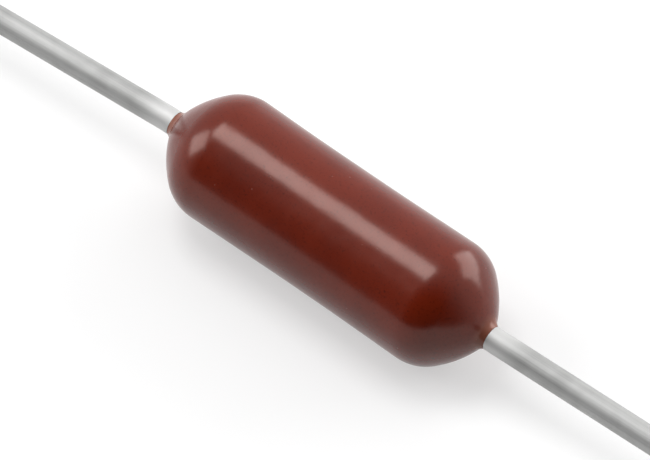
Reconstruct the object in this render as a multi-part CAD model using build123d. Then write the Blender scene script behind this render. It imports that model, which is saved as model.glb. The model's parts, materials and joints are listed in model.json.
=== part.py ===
from build123d import *
import math
import os

# Axial-lead metal film resistor of the common half-watt body size, with a plain
# conformal coat and no colour bands. The body's axis lies along X. Every piece is
# drawn about that axis, and the whole part is then set down on the plane z = 0.
# Lengths are in millimetres and angles in degrees.

# Wire of the two leads
lead_diameter = 0.64
lead_run = 37.7
lead_bend_start = 4.95
lead_bend_radius = 5.0
lead_tip_chamfer = 0.04
lead_splay = 1.8

# Upset weld between a lead and its cap
weld_foot_radius = 0.55
weld_foot_length = 0.2

# Ceramic rod and the film on it
core_diameter = 2.46
core_length = 7.2
core_chamfer = 0.15
film_thickness = 0.04

# Helical trimming cut through the film
trim_turns = 5
trim_pitch = 0.7
trim_width = 0.16

# Drawn end caps
cap_wall = 0.2
cap_end_wall = 0.25
cap_depth = 1.3
cap_inside_chamfer = 0.1
cap_corner_radius = 0.32
cap_rim_chamfer = 0.08

# Lacquer between the caps
undercoat_thickness = 0.12

# Outside of the finished coat
waist_diameter = 3.3
crest_diameter = 3.354
crest_position = 3.19
shoulder_radius = 1.2
shoulder_slope = 41.4
end_radius = 3.4
meniscus_foot_radius = 0.48
meniscus_contact_angle = 20.0

# Sizes that follow from those above
lead_radius = lead_diameter / 2
core_radius = core_diameter / 2
film_radius = core_radius + film_thickness
cap_radius = film_radius + cap_wall
cap_face = core_length / 2 + cap_end_wall
cap_rim = core_length / 2 - cap_depth
undercoat_radius = film_radius + undercoat_thickness
waist_radius = waist_diameter / 2
crest_radius = crest_diameter / 2
trim_length = trim_turns * trim_pitch
trim_cutter_depth = 3 * film_thickness

# The waist is one shallow arc. It meets the shoulder arc still rising a little, so
# the body is widest just past that point, and it lies on those two widest circles.
crest_slope = 2 * math.atan((crest_radius - waist_radius) / crest_position)
rest_height = crest_radius + shoulder_radius * (1 - math.cos(crest_slope))

# Each lead leaves the coat on the body's axis, bends slightly and runs straight
# until its tip touches the plane that the body lies on, a little to one side.
tip_drop = rest_height - lead_radius
tip_offset = math.hypot(tip_drop, lead_splay)
lead_roll = math.degrees(math.atan2(lead_splay, tip_drop))
lead_bend = math.degrees(
    math.atan2(lead_bend_radius, lead_run)
    + math.asin((tip_offset - lead_bend_radius) / math.hypot(lead_run, lead_bend_radius))
)


def turned(section):
    """Solid of revolution of a half section about the body's axis."""
    return revolve(section, axis=Axis.X)


def band(start, end, inner_radius, outer_radius):
    """Half section of a straight tube, or of a rod where the inner radius is zero."""
    corners = [(start, inner_radius), (end, inner_radius), (end, outer_radius), (start, outer_radius)]
    return make_face(Polyline(*corners, close=True))


def corner_at(section, x, radius):
    """The corner of a half section that is nearest to a given point."""
    return section.vertices().sort_by_distance((x, radius, 0))[0]


def turned_round(shape):
    """The same piece on the other end of the body."""
    return Rot(Z=180) * shape


def ceramic_core():
    """Alumina rod with its end edges broken."""
    section = band(-core_length / 2, core_length / 2, 0, core_radius)
    edges = [corner_at(section, side * core_length / 2, core_radius) for side in (-1, 1)]
    return turned(chamfer(edges, core_chamfer))


def trim_cutter():
    """The path of the trimming laser: a ribbon wound round the film."""
    path = Helix(
        pitch=trim_pitch,
        height=trim_length,
        radius=core_radius + film_thickness / 2,
        center=(-trim_length / 2, 0, 0),
        direction=(1, 0, 0),
    )
    start = path @ 0
    section_plane = Plane(origin=start, x_dir=(0, start.Y, start.Z), z_dir=path % 0)
    return sweep(section_plane * Rectangle(trim_cutter_depth, trim_width), path=path, is_frenet=True)


def metal_film():
    """Resistive sleeve on the rod. The trimming cut leaves a long helical strip."""
    film_end = core_length / 2 - core_chamfer
    return turned(band(-film_end, film_end, core_radius, film_radius)) - trim_cutter()


def undercoat():
    """Lacquer over the bare film between the caps, keyed into the trimming cut."""
    layer = turned(band(-cap_rim, cap_rim, film_radius, undercoat_radius))
    key_blank = turned(band(-cap_rim, cap_rim, core_radius, film_radius))
    return layer + (key_blank & trim_cutter())


def cap_outside():
    """Half section of the right cap's outside, filled to the axis."""
    section = band(cap_rim, cap_face, 0, cap_radius)
    section = fillet(corner_at(section, cap_face, cap_radius), cap_corner_radius)
    return chamfer(corner_at(section, cap_rim, cap_radius), cap_rim_chamfer)


def cap_inside():
    """Half section of the right cap's hollow."""
    section = band(cap_rim, core_length / 2, 0, film_radius)
    return chamfer(corner_at(section, core_length / 2, film_radius), cap_inside_chamfer)


def end_cap():
    """Right cap: a drawn cup pressed over the end of the filmed rod."""
    return turned(cap_outside() - cap_inside())


def weld_foot():
    """Half section of the flare where the right lead is welded to its cap."""
    foot_end = cap_face + weld_foot_length
    corners = [(cap_face, 0), (cap_face, weld_foot_radius), (foot_end, lead_radius), (foot_end, 0)]
    return make_face(Polyline(*corners, close=True))


def lead():
    """Right lead: welded foot, straight part in the coat, bend, run and plain cut tip."""
    stub = Line((cap_face, 0), (lead_bend_start, 0))
    bend = JernArc(start=stub @ 1, tangent=stub % 1, radius=lead_bend_radius, arc_size=lead_bend)
    run = Line(bend @ 1, bend @ 1 + (bend % 1) * lead_run)
    wire_plane = Plane(origin=stub @ 0, z_dir=stub % 0)
    wire = sweep(wire_plane * Circle(lead_radius), path=Wire([stub, bend, run]))
    tip_face = wire.faces().filter_by(GeomType.PLANE).sort_by_distance(run @ 1)[0]
    wire = chamfer(tip_face.edges(), lead_tip_chamfer)
    return Rot(X=lead_roll - 90) * (wire + turned(weld_foot()))


def coat_outside():
    """Half section of the finished coat, filled to the axis."""
    waist = ThreePointArc((-crest_position, crest_radius), (0, waist_radius), (crest_position, crest_radius))
    slope_at_crest = math.degrees(crest_slope)
    shoulder_end = rest_height - shoulder_radius * (1 - math.cos(math.radians(shoulder_slope)))
    end_centre = shoulder_end - end_radius * math.cos(math.radians(shoulder_slope))
    foot_slope = math.degrees(math.acos((meniscus_foot_radius - end_centre) / end_radius))
    contact = math.cos(math.radians(meniscus_contact_angle))
    meniscus_radius = (meniscus_foot_radius - lead_radius) / (contact - math.cos(math.radians(foot_slope)))
    shoulder = JernArc(
        start=waist @ 1,
        tangent=waist % 1,
        radius=shoulder_radius,
        arc_size=-(shoulder_slope + slope_at_crest),
    )
    end = JernArc(
        start=shoulder @ 1,
        tangent=shoulder % 1,
        radius=end_radius,
        arc_size=shoulder_slope - foot_slope,
    )
    meniscus = JernArc(
        start=end @ 1,
        tangent=end % 1,
        radius=meniscus_radius,
        arc_size=foot_slope - meniscus_contact_angle,
    )
    right_side = [shoulder, end, meniscus]
    left_side = [mirror(edge, about=Plane.YZ) for edge in right_side]
    tip = (meniscus @ 1).X
    base = Polyline((tip, lead_radius), (tip, 0), (-tip, 0), (-tip, lead_radius))
    return make_face([waist, *right_side, *left_side, base])


def outer_coat():
    """Conformal coat, hollow where the capped and lacquered element lies in it."""
    tip = coat_outside().bounding_box().max.X
    element_end = cap_outside() + weld_foot() + band(cap_face, tip, 0, lead_radius)
    element = element_end + mirror(element_end, about=Plane.YZ)
    element = element + band(-cap_rim, cap_rim, 0, undercoat_radius)
    return turned(coat_outside() - element)


nodes = {
    "ceramic_core": ceramic_core(),
    "metal_film": metal_film(),
    "undercoat": undercoat(),
    "end_cap_left": turned_round(end_cap()),
    "end_cap_right": end_cap(),
    "lead_left": turned_round(lead()),
    "lead_right": lead(),
    "outer_coat": outer_coat(),
}

os.makedirs("parts", exist_ok=True)
for name, piece in nodes.items():
    export_step(Pos(Z=rest_height) * piece, f"parts/{name}.step")
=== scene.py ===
import json
import math

import bpy
from mathutils import Matrix, Vector, noise


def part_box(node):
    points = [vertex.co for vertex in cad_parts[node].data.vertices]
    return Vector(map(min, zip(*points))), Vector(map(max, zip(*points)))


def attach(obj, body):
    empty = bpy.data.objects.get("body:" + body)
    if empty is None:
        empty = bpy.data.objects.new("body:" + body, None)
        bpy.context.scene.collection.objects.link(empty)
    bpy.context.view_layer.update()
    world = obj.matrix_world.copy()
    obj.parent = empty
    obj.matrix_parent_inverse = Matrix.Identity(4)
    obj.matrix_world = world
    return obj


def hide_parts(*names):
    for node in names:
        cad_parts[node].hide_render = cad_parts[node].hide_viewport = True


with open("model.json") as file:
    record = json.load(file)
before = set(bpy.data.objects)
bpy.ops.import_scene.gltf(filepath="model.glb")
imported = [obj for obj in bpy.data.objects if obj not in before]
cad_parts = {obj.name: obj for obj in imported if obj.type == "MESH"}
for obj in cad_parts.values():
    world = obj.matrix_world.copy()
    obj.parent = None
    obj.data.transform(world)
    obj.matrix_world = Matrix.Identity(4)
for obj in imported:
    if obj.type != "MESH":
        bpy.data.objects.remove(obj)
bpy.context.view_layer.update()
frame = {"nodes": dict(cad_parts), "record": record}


# The ceramic rod carries every other piece. It is alumina, pressed and sintered, so it
# is chalk white with a fine matt grain and a few grey firing specks.
class Value:
    """One output of a shader node. Arithmetic on it adds the Math node of that sign."""

    def __init__(self, finish, socket):
        self.finish = finish
        self.socket = socket

    def maths(self, operation, first, second):
        return self.finish.node("ShaderNodeMath", {"operation": operation}, {0: first, 1: second})

    def __add__(self, other):
        return self.maths("ADD", self, other)

    def __sub__(self, other):
        return self.maths("SUBTRACT", self, other)

    def __rsub__(self, other):
        return self.maths("SUBTRACT", other, self)

    def __mul__(self, other):
        return self.maths("MULTIPLY", self, other)

    __radd__ = __add__
    __rmul__ = __mul__


class Finish:
    """The node tree of a material or of the world, with its one shader."""

    def __init__(self, owner, shader_name):
        owner.use_nodes = True
        self.owner = owner
        self.tree = owner.node_tree
        self.shader = self.tree.nodes[shader_name]

    def feed(self, inputs, sockets):
        """Sets or links the sockets of one node."""
        for name, value in sockets.items():
            if isinstance(value, Value):
                self.tree.links.new(value.socket, inputs[name])
            else:
                inputs[name].default_value = value

    def node(self, kind, settings, sockets, output=0):
        """Adds any node: its type, its settings and what its sockets hold."""
        made = self.tree.nodes.new(kind)
        for name, value in settings.items():
            setattr(made, name, value)
        self.feed(made.inputs, sockets)
        return Value(self, made.outputs[output])

    def surface(self, **sockets):
        """Sets or links the shader's own sockets, named with underscores for spaces."""
        self.feed(self.shader.inputs, {name.replace("_", " "): value for name, value in sockets.items()})

    def place(self):
        """Where a point is on the piece, in metres."""
        return self.node("ShaderNodeTexCoord", {}, {}, "Object")

    def cloud(self, place, size, detail=2.0):
        """Soft uneven patches about one size across, from 0 to 1."""
        sockets = {"Vector": place, "Scale": 1 / size, "Detail": detail}
        return self.node("ShaderNodeTexNoise", {}, sockets, "Fac")

    def ramp(self, value, low, high, at_low=0.0, at_high=1.0):
        """A value carried smoothly from one range to another and held at its ends."""
        sockets = {"Value": value, "From Min": low, "From Max": high, "To Min": at_low, "To Max": at_high}
        return self.node("ShaderNodeMapRange", {"interpolation_type": "SMOOTHSTEP"}, sockets)

    def blend(self, share, first, second):
        """One colour passing into another. A Mix node takes its colours on sockets 6 and 7."""
        sockets = {0: share, 6: first, 7: second}
        return self.node("ShaderNodeMix", {"data_type": "RGBA"}, sockets, 2)

    def relief(self, height):
        """Surface relief from a height in millimetres."""
        millimetre = 0.001
        return self.node("ShaderNodeBump", {}, {"Height": height, "Distance": millimetre})


def new_finish(name):
    return Finish(bpy.data.materials.new(name), "Principled BSDF")


def rgb(red, green, blue):
    return (red, green, blue, 1.0)


def finish_node(node, finish):
    """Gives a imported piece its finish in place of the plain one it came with."""
    frame["nodes"][node].data.materials.clear()
    frame["nodes"][node].data.materials.append(finish.owner)


alumina_white = rgb(0.80, 0.79, 0.75)
alumina_shade = rgb(0.70, 0.68, 0.63)
firing_speck = rgb(0.34, 0.32, 0.29)
alumina_grain = 0.00003
alumina_patch = 0.0007
firing_speck_size = 0.00012
firing_speck_range = (0.70, 0.76)
alumina_roughness = 0.72
grain_roughness = 0.16
grain_height = 0.002
alumina_index = 1.55

alumina = new_finish("alumina")
grain = alumina.cloud(alumina.place(), alumina_grain)
specks = alumina.ramp(alumina.cloud(alumina.place(), firing_speck_size), *firing_speck_range)
patches = alumina.cloud(alumina.place(), alumina_patch)
alumina.surface(
    Base_Color=alumina.blend(specks, alumina.blend(patches, alumina_white, alumina_shade), firing_speck),
    Roughness=alumina_roughness + grain_roughness * grain,
    Normal=alumina.relief(grain_height * grain),
    IOR=alumina_index,
)
finish_node("ceramic_core", alumina)


# The resistive film is sputtered nickel chrome on the rod, with a helical cut that a
# laser burnt through it. It is a dark grey metal, browned a little by heat in places.
film_grey = rgb(0.33, 0.32, 0.31)
film_heat_tint = rgb(0.36, 0.28, 0.22)
film_patch = 0.0006
film_grain = 0.00004
film_heat_range = (0.45, 0.75)
film_roughness = 0.34
film_grain_roughness = 0.18
film_grain_height = 0.0006

film = new_finish("resistive film")
film_cloud = film.cloud(film.place(), film_patch)
film_speckle = film.cloud(film.place(), film_grain)
film.surface(
    Base_Color=film.blend(film.ramp(film_cloud, *film_heat_range), film_grey, film_heat_tint),
    Roughness=film_roughness + film_grain_roughness * film_speckle,
    Normal=film.relief(film_grain_height * film_speckle),
    Metallic=1.0,
)
finish_node("metal_film", film)


# The undercoat is an amber lacquer rolled over the bare film between the caps. It is
# glossy and pools a little, so its colour is deeper in some places than in others.
lacquer_amber = rgb(0.55, 0.36, 0.15)
lacquer_deep = rgb(0.36, 0.20, 0.07)
lacquer_pool = 0.0009
lacquer_ripple = 0.0004
lacquer_pool_range = (0.35, 0.70)
lacquer_roughness = 0.16
pool_roughness = 0.12
lacquer_ripple_height = 0.004
lacquer_index = 1.48

lacquer = new_finish("lacquer")
pooling = lacquer.cloud(lacquer.place(), lacquer_pool)
ripple = lacquer.cloud(lacquer.place(), lacquer_ripple)
lacquer.surface(
    Base_Color=lacquer.blend(lacquer.ramp(pooling, *lacquer_pool_range), lacquer_amber, lacquer_deep),
    Roughness=lacquer_roughness + pool_roughness * pooling,
    Normal=lacquer.relief(lacquer_ripple_height * ripple),
    IOR=lacquer_index,
)
finish_node("undercoat", lacquer)


# The two end caps are cups deep drawn from tin-plated steel and pressed over the rod's
# ends. Drawing leaves fine scores along the wall, and the plating is slightly mottled.
cap_tin = rgb(0.66, 0.65, 0.62)
cap_tin_dull = rgb(0.52, 0.51, 0.48)
draw_score_width = 0.00003
draw_score_length = 0.0015
tin_patch = 0.0005
tin_patch_range = (0.40, 0.75)
cap_roughness = 0.26
draw_score_roughness = 0.16
draw_score_height = 0.0012


def lines(finish, place, length, width, axis="X"):
    """Fine lines along one axis, about this long and wide, from 0 to 1."""
    squeeze = [width / length if name == axis else 1.0 for name in "XYZ"]
    squeezed = finish.node("ShaderNodeMapping", {}, {"Vector": place, "Scale": squeeze})
    return finish.cloud(squeezed, width)


cap_steel = new_finish("cap steel")
cap_place = cap_steel.place()
scores = lines(cap_steel, cap_place, draw_score_length, draw_score_width)
mottle = cap_steel.cloud(cap_place, tin_patch)
cap_steel.surface(
    Base_Color=cap_steel.blend(cap_steel.ramp(mottle, *tin_patch_range), cap_tin, cap_tin_dull),
    Roughness=cap_roughness + draw_score_roughness * scores,
    Normal=cap_steel.relief(draw_score_height * scores),
    Metallic=1.0,
)
for end_cap in ("end_cap_left", "end_cap_right"):
    finish_node(end_cap, cap_steel)


# The leads are copper wire drawn through dies and tinned. Each is butt-welded to its cap,
# leaves the coat, bends slightly and runs straight to a sheared end that shows the copper.
wire_mount = next(mount for mount in frame["record"]["mounts"] if mount["name"] == "lead_right")
wire_radius = wire_mount["dims"]["r_mm"] / 1000
run_middle = Vector(wire_mount["pos_m"])
run_direction = Vector(wire_mount["axis"]).normalized()
run_length = wire_mount["dims"]["length_mm"] / 1000
cap_low, cap_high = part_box("end_cap_right")
axis_height = (cap_low.z + cap_high.z) / 2
body_axis = Vector((1, 0, 0))

wire_sides = 48
bend_radius = 0.005
bend_steps = 10
weld_foot_radius = 0.00055
weld_foot_length = 0.0002
run_step = 0.0015
run_wander = 0.000012
run_wander_length = 0.011
shear_slant = 0.00007
tip_chamfer = 0.00004

run_back_to_axis = (axis_height - run_middle.z) / run_direction.z
wire_corner = run_middle + run_direction * run_back_to_axis
tip_distance = run_length / 2 - run_back_to_axis + tip_chamfer
bend_angle = body_axis.angle(run_direction)
bend_reach = bend_radius * math.tan(bend_angle / 2)
bend_side = (run_direction - body_axis * math.cos(bend_angle)).normalized()
bend_axle = body_axis.cross(bend_side)


def skin(name, rings, loop=False):
    """A mesh over rings of equally many points. A loop of rings closes on itself, and
    otherwise the first and last rings are closed by a fan."""
    sides = len(rings[0])
    points = [point for ring in rings for point in ring]
    faces = []
    for row in range(len(rings) if loop else len(rings) - 1):
        here = row * sides
        there = (row + 1) % len(rings) * sides
        for side in range(sides):
            beside = (side + 1) % sides
            faces.append((here + side, here + beside, there + beside, there + side))
    if not loop:
        for row, order in ((0, -1), (len(rings) - 1, 1)):
            middle = sum(rings[row], Vector()) / sides
            points.append(middle)
            for side in range(sides):
                pair = (row * sides + side, row * sides + (side + 1) % sides)[::order]
                faces.append((*pair, len(points) - 1))
    mesh = bpy.data.meshes.new(name)
    mesh.from_pydata(points, [], faces)
    mesh.validate()
    mesh.shade_smooth()
    piece = bpy.data.objects.new(name, mesh)
    bpy.context.scene.collection.objects.link(piece)
    return piece


def wire_course(distance):
    """Middle and direction of the right wire, by the distance from the corner of its bend."""
    if distance > bend_reach:
        share = (distance - bend_reach) / (tip_distance - bend_reach)
        along_noise = Vector((distance / run_wander_length, 0, 0))
        wander = run_wander * math.sin(math.pi * min(share, 1)) * noise.noise(along_noise)
        return wire_corner + run_direction * distance + bend_axle * wander, run_direction
    turn = max(distance + bend_reach, 0) / (2 * bend_reach) * bend_angle
    straight = min(distance, -bend_reach)
    along = straight + bend_radius * math.sin(turn)
    across = bend_radius * (1 - math.cos(turn))
    direction = body_axis * math.cos(turn) + bend_side * math.sin(turn)
    return wire_corner + body_axis * along + bend_side * across, direction


def wire_ring(distance, radius, slant=0.0):
    """One ring of points round the wire, set back on one side where the wire is sheared."""
    ring = []
    for side in range(wire_sides):
        angle = math.tau * side / wire_sides
        set_back = slant * (1 + math.cos(angle)) / 2
        middle, direction = wire_course(distance - set_back)
        outward = direction.cross(bend_axle) * math.cos(angle) + bend_axle * math.sin(angle)
        ring.append(middle + outward * radius)
    return ring


weld_distance = cap_high.x - wire_corner.x
wire_rings = [
    wire_ring(weld_distance, weld_foot_radius),
    wire_ring(weld_distance + weld_foot_length, wire_radius),
]
for step in range(bend_steps + 1):
    wire_rings.append(wire_ring(bend_reach * (2 * step / bend_steps - 1), wire_radius))
for step in range(1, int(tip_distance / run_step)):
    wire_rings.append(wire_ring(bend_reach + step * run_step, wire_radius))

# Set back from the tip, share of the wire's radius, share of the shear's slant
sheared_end = [(0.00045, 1.0, 0.0), (0.00012, 1.0, 0.6), (0.00005, 0.985, 0.9), (0.00002, 0.95, 1.0)]
cut_face = [(0.0, 0.89, 1.0), (0.00001, 0.55, 1.0), (0.000004, 0.2, 1.0)]
for set_back, radius_share, slant_share in sheared_end + cut_face:
    wire_rings.append(
        wire_ring(tip_distance - set_back, wire_radius * radius_share, shear_slant * slant_share)
    )

# The lightest tin is a painted highlight, a glint laid into the wire's colour beside the coat.
tin_painted_glint = rgb(0.55, 0.55, 0.545)
tin_grey = rgb(0.44, 0.44, 0.435)
tin_dull = rgb(0.335, 0.335, 0.33)
die_line_width = 0.000035
die_line_length = 0.004
tin_grain = 0.00006
painted_glint_length = 0.0009
tin_mottle = 0.0006
tarnish_range = (0.35, 0.75)
tarnish_share = 0.5
wire_roughness = 0.56
die_line_roughness = 0.08
tin_grain_roughness = 0.04
die_line_height = 0.0007
tin_grain_height = 0.0003

tinned_wire = new_finish("tinned wire")
run_turn = run_direction.to_track_quat("X", "Z").to_euler()
wire_place = tinned_wire.node(
    "ShaderNodeMapping",
    {"vector_type": "TEXTURE"},
    {"Vector": tinned_wire.place(), "Location": wire_corner, "Rotation": run_turn},
)
die_lines = lines(tinned_wire, wire_place, die_line_length, die_line_width)
tin_cloud = tinned_wire.cloud(wire_place, tin_mottle)
tin_speckle = tinned_wire.cloud(wire_place, tin_grain)
along_wire = tinned_wire.node("ShaderNodeSeparateXYZ", {}, {"Vector": wire_place}, "X")
# Painted highlight: the wire's colour turns lighter over its first 0.9 mm out from the coat, where a glint
# is painted in.
painted_glint_by_coat = tinned_wire.ramp(along_wire, 0.0, painted_glint_length, 1.0, 0.0)
tarnish_patches = tinned_wire.ramp(tin_cloud, *tarnish_range, 0.0, tarnish_share)
tarnish_lines = tinned_wire.ramp(die_lines, *tarnish_range, 0.0, tarnish_share)
wire_tone = tinned_wire.blend(tarnish_patches + tarnish_lines, tin_grey, tin_dull)
tinned_wire.surface(
    Base_Color=tinned_wire.blend(painted_glint_by_coat, wire_tone, tin_painted_glint),
    Roughness=wire_roughness + die_line_roughness * die_lines + tin_grain_roughness * tin_speckle,
    Normal=tinned_wire.relief(die_line_height * die_lines + tin_grain_height * tin_speckle),
    Metallic=1.0,
)

# The shear drags some tin over the copper from the upper side, and scores the face downward.
copper_bright = rgb(0.62, 0.30, 0.18)
copper_dark = rgb(0.40, 0.18, 0.10)
shear_mark_width = 0.000022
shear_mark_length = 0.0005
shear_mark_range = (0.40, 0.70)
tin_drag = 0.00022
cut_top = 2 * wire_radius
cut_roughness = 0.32
shear_mark_roughness = 0.22
shear_mark_height = 0.0012

cut_copper = new_finish("cut copper")
cut_place = cut_copper.place()
shear_marks = lines(cut_copper, cut_place, shear_mark_length, shear_mark_width, "Z")
height_on_cut = cut_copper.node("ShaderNodeSeparateXYZ", {}, {"Vector": cut_place}, "Z")
dragged_tin = cut_copper.ramp(height_on_cut + tin_drag * shear_marks, cut_top, cut_top + tin_drag / 2)
deep_marks = cut_copper.ramp(shear_marks, *shear_mark_range)
scored_copper = cut_copper.blend(deep_marks, copper_bright, copper_dark)
cut_copper.surface(
    Base_Color=cut_copper.blend(dragged_tin, scored_copper, tin_grey),
    Roughness=cut_roughness + shear_mark_roughness * shear_marks,
    Normal=cut_copper.relief(shear_mark_height * shear_marks),
    Metallic=1.0,
)

first_cut_point = (len(wire_rings) - len(cut_face)) * wire_sides
for side_name, turned in (("left", math.pi), ("right", 0.0)):
    wire = skin(f"tinned_wire_{side_name}", wire_rings)
    wire.matrix_world = Matrix.Rotation(turned, 4, "Z")
    wire.data.materials.append(tinned_wire.owner)
    wire.data.materials.append(cut_copper.owner)
    for face in wire.data.polygons:
        if min(face.vertices) >= first_cut_point:
            face.material_index = 1
    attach(wire, "root")
    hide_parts(f"lead_{side_name}")


# The coat is red-brown epoxy put on wet over the whole element and cured. It stands out a
# little over the caps, draws in between them, rounds the ends and creeps onto the wires.
waist_radius = 0.00165
crest_radius = 0.001677
crest_position = 0.00319
shoulder_radius = 0.0012
shoulder_slope = math.radians(41.4)
end_radius = 0.0034
meniscus_foot_radius = 0.00048
meniscus_contact_angle = math.radians(20)
coat_sides = 192
waist_steps = 44
shoulder_steps = 26
end_steps = 22
meniscus_steps = 10

crest_slope = 2 * math.atan((crest_radius - waist_radius) / crest_position)
shoulder_end = axis_height - shoulder_radius * (1 - math.cos(shoulder_slope))
end_centre = shoulder_end - end_radius * math.cos(shoulder_slope)
foot_slope = math.acos((meniscus_foot_radius - end_centre) / end_radius)
meniscus_radius = (meniscus_foot_radius - wire_radius) / (
    math.cos(meniscus_contact_angle) - math.cos(foot_slope)
)


def carry_on(outline, slope, new_slope, radius, steps):
    """Carries an outline of (place along the axis, radius) on along a tangent arc."""
    x, r = outline[-1]
    bulge = radius if new_slope < slope else -radius
    for step in range(1, steps + 1):
        now = slope + (new_slope - slope) * step / steps
        outline.append((
            x + bulge * (math.sin(slope) - math.sin(now)),
            r - bulge * (math.cos(slope) - math.cos(now)),
        ))


half_outline = [(0.0, waist_radius)]
carry_on(half_outline, 0.0, crest_slope, crest_position / math.sin(crest_slope), waist_steps)
carry_on(half_outline, crest_slope, -shoulder_slope, shoulder_radius, shoulder_steps)
carry_on(half_outline, -shoulder_slope, -foot_slope, end_radius, end_steps)
carry_on(half_outline, -foot_slope, -meniscus_contact_angle, meniscus_radius, meniscus_steps)

# The hollow in the coat follows the wire, the weld, the cap and the lacquer.
cap_corner_radius = 0.00032
cap_rim_chamfer = 0.00008
cap_corner_steps = 8
cap_radius = cap_high.z - axis_height
lacquer_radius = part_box("undercoat")[1].z - axis_height
half_hollow = [
    (half_outline[-1][0], wire_radius),
    (cap_high.x + weld_foot_length, wire_radius),
    (cap_high.x, weld_foot_radius),
    (cap_high.x, cap_radius - cap_corner_radius),
]
for step in range(1, cap_corner_steps + 1):
    corner_turn = math.pi / 2 * step / cap_corner_steps
    half_hollow.append((
        cap_high.x - cap_corner_radius * (1 - math.cos(corner_turn)),
        cap_radius - cap_corner_radius * (1 - math.sin(corner_turn)),
    ))
half_hollow.append((cap_low.x + cap_rim_chamfer, cap_radius))
half_hollow.append((cap_low.x, lacquer_radius))


def mirrored(half):
    """A half outline carried on to its mirror image, over the middle of the body."""
    return [(-x, r) for x, r in reversed(half)]


coat_outline = mirrored(half_outline) + half_outline[1:]
hollow_outline = half_hollow + mirrored(half_hollow)

sag_depth = 0.000011
sag_length = 0.0019
ripple_depth = 0.0000022
ripple_length = 0.00055
creep_reach = 0.00002
creep_patch = 0.00035
creep_start = 0.0044


def coat_point(x, r, angle, wet=True):
    """A point of the coat. The wet surface dries slightly uneven, never proud of its outline."""
    around = Vector((x, r * math.cos(angle), r * math.sin(angle)))
    if wet:
        sag = (1 + noise.noise(around / sag_length)) / 2
        ripple = (1 + noise.noise(around / ripple_length)) / 2
        thickness = min((r - wire_radius) / (waist_radius - wire_radius), 1)
        r -= (sag_depth * sag + ripple_depth * ripple) * thickness
        creep = max(abs(x) - creep_start, 0) / (half_outline[-1][0] - creep_start)
        x -= math.copysign(creep_reach * creep * (1 + noise.noise(around / creep_patch)) / 2, x)
    return Vector((x, r * math.cos(angle), axis_height + r * math.sin(angle)))


angles = [-math.tau * side / coat_sides for side in range(coat_sides)]
coat_rings = []
for outline, wet in ((coat_outline, True), (hollow_outline, False)):
    for x, r in outline:
        coat_rings.append([coat_point(x, r, angle, wet) for angle in angles])
coat = skin("brown_coat", coat_rings, loop=True)

coat_brown = rgb(0.128, 0.0112, 0.0026)
coat_dark = rgb(0.104, 0.0083, 0.0019)
coat_thin = rgb(0.22, 0.082, 0.052)
pigment_dark = rgb(0.050, 0.0040, 0.0010)
coat_gloss_tint = rgb(1.0, 0.76, 0.70)
shade_patch = 0.0012
pigment_size = 0.00005
peel_size = 0.00028
pore_spacing = 0.0005
pore_radius = 0.000032
shade_range = (0.30, 0.75)
pigment_range = (0.52, 0.78)
pigment_share = 0.7
thin_reach = 1.3 * meniscus_foot_radius
thin_share = 0.75
coat_roughness = 0.16
peel_roughness = 0.07
pigment_roughness = 0.05
pore_roughness = 0.2
peel_height = 0.0032
pigment_height = 0.0004
pore_depth = 0.004
coat_index = 1.49

coat_finish = new_finish("epoxy coat")
coat_place = coat_finish.place()
shade = coat_finish.ramp(coat_finish.cloud(coat_place, shade_patch), *shade_range)
pigment = coat_finish.cloud(coat_place, pigment_size)
peel = coat_finish.cloud(coat_place, peel_size, 1.0)
pore_distance = coat_finish.node(
    "ShaderNodeTexVoronoi", {}, {"Vector": coat_place, "Scale": 1 / pore_spacing}, "Distance"
)
pores = coat_finish.ramp(pore_distance, 0.0, pore_radius / pore_spacing, 1.0, 0.0)
off_axis = coat_finish.node(
    "ShaderNodeVectorMath",
    {"operation": "MULTIPLY_ADD"},
    {0: coat_place, 1: (0.0, 1.0, 1.0), 2: (0.0, 0.0, -axis_height)},
)
from_axis = coat_finish.node("ShaderNodeVectorMath", {"operation": "LENGTH"}, {0: off_axis}, "Value")
thinning = coat_finish.ramp(from_axis, wire_radius, thin_reach, thin_share, 0.0)
brown = coat_finish.blend(shade, coat_brown, coat_dark)
dark_grains = coat_finish.ramp(pigment, *pigment_range, 0.0, pigment_share)
speckled = coat_finish.blend(dark_grains, brown, pigment_dark)
coat_finish.surface(
    Base_Color=coat_finish.blend(thinning, speckled, coat_thin),
    Roughness=coat_roughness + peel_roughness * peel + pigment_roughness * pigment + pore_roughness * pores,
    Normal=coat_finish.relief(peel_height * peel + pigment_height * pigment - pore_depth * pores),
    IOR=coat_index,
    Specular_Tint=coat_gloss_tint,
)
coat.data.materials.append(coat_finish.owner)
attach(coat, "root")
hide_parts("outer_coat")


# The part lies on a plain pale table top. The table is a broad disc of painted board that
# reads as white to the eye and in the metal, and still takes the part's soft shadow.
table_radius = 8.0
table_sides = 96
table_paint = rgb(0.48, 0.48, 0.48)
table_glow = 0.46

table_edge = []
for side in range(table_sides):
    angle = math.tau * side / table_sides
    table_edge.append((table_radius * math.cos(angle), table_radius * math.sin(angle), 0.0))
table_mesh = bpy.data.meshes.new("table_top")
table_mesh.from_pydata(table_edge, [], [tuple(range(table_sides))])
table = bpy.data.objects.new("table_top", table_mesh)
bpy.context.scene.collection.objects.link(table)

paint = new_finish("table paint")
seen_by = ("Is Camera Ray", "Is Glossy Ray", "Is Transmission Ray")
seen = sum(paint.node("ShaderNodeLightPath", {}, {}, ray) for ray in seen_by)
paint.surface(
    Base_Color=table_paint,
    Roughness=1.0,
    Specular_IOR_Level=0.0,
    Emission_Color=paint.blend(seen, rgb(0, 0, 0), rgb(table_glow, table_glow, table_glow)),
    Emission_Strength=1.0,
)
table.data.materials.append(paint.owner)


# The studio is a white tent, open on the camera's side, where the room is dark. A soft box
# hangs overhead, one stands out to the left, and a broad low one behind and to the right.
box_distance = 3.0


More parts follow.
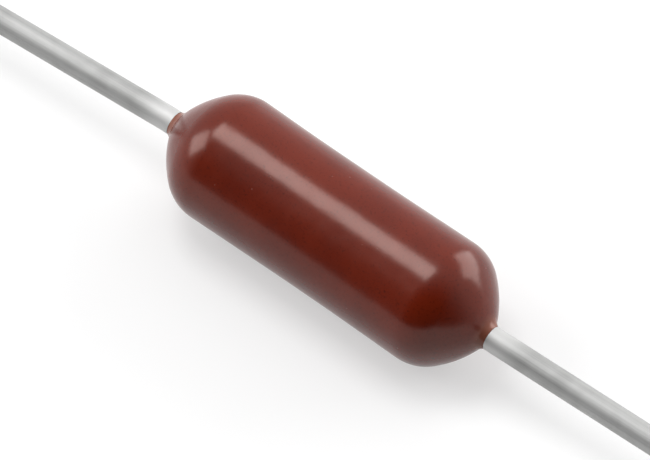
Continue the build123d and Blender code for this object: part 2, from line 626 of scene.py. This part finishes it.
def soft_box(name, direction, size, brightness):
    """A flat white panel that faces the part. Brightness 1 looks as bright as white paper."""
    lamp = bpy.data.lights.new(name, "AREA")
    lamp.shape = "RECTANGLE"
    lamp.size, lamp.size_y = size
    lamp.energy = brightness * math.pi * size[0] * size[1]
    panel = bpy.data.objects.new(name, lamp)
    panel.location = Vector(direction).normalized() * box_distance
    panel.rotation_euler = Vector(direction).to_track_quat("Z", "Y").to_euler()
    panel.visible_camera = False
    bpy.context.scene.collection.objects.link(panel)


soft_box("overhead_box", direction=(-0.33, 0.09, 0.94), size=(1.34, 1.2), brightness=6.5)
soft_box("left_box", direction=(-0.76, -0.34, 0.56), size=(1.6, 1.9), brightness=4.8)
soft_box("right_box", direction=(0.29, 0.90, 0.31), size=(2.6, 1.9), brightness=3.9)

tent_side = (-0.45, 0.80, -0.40)
tent_white = rgb(0.90, 0.90, 0.90)
room_dark = rgb(0.02, 0.02, 0.02)
tent_edge = (-0.85, -0.1)

room = Finish(bpy.data.worlds.new("room"), "Background")
looking = room.node("ShaderNodeTexCoord", {}, {}, "Generated")
toward_tent = room.node(
    "ShaderNodeVectorMath", {"operation": "DOT_PRODUCT"}, {0: looking, 1: tent_side}, "Value"
)
room.surface(Color=room.blend(room.ramp(toward_tent, *tent_edge), room_dark, tent_white), Strength=1.0)
bpy.context.scene.world = room.owner


# The camera stands above the front right with a long lens, and looks slightly to the left
# of the part's middle, as the photograph does.
view_azimuth = math.radians(39)
view_elevation = math.radians(57)
picture_width = 0.0157
lens_length_mm = 560
sensor_width_mm = 36
aim_aside = -0.000169

view_right = Vector((math.cos(view_azimuth), math.sin(view_azimuth), 0))
view_back = Vector((
    math.sin(view_azimuth) * math.cos(view_elevation),
    -math.cos(view_azimuth) * math.cos(view_elevation),
    math.sin(view_elevation),
))
aim = Vector((0, 0, axis_height)) + view_right * aim_aside
camera_data = bpy.data.cameras.new("camera")
camera_data.lens = lens_length_mm
camera_data.sensor_width = sensor_width_mm
camera = bpy.data.objects.new("camera", camera_data)
camera.location = aim + view_back * (picture_width * lens_length_mm / sensor_width_mm)
camera.rotation_euler = view_back.to_track_quat("Z", "Y").to_euler()
bpy.context.scene.collection.objects.link(camera)
bpy.context.scene.camera = camera
bpy.context.scene.view_settings.view_transform = "Standard"
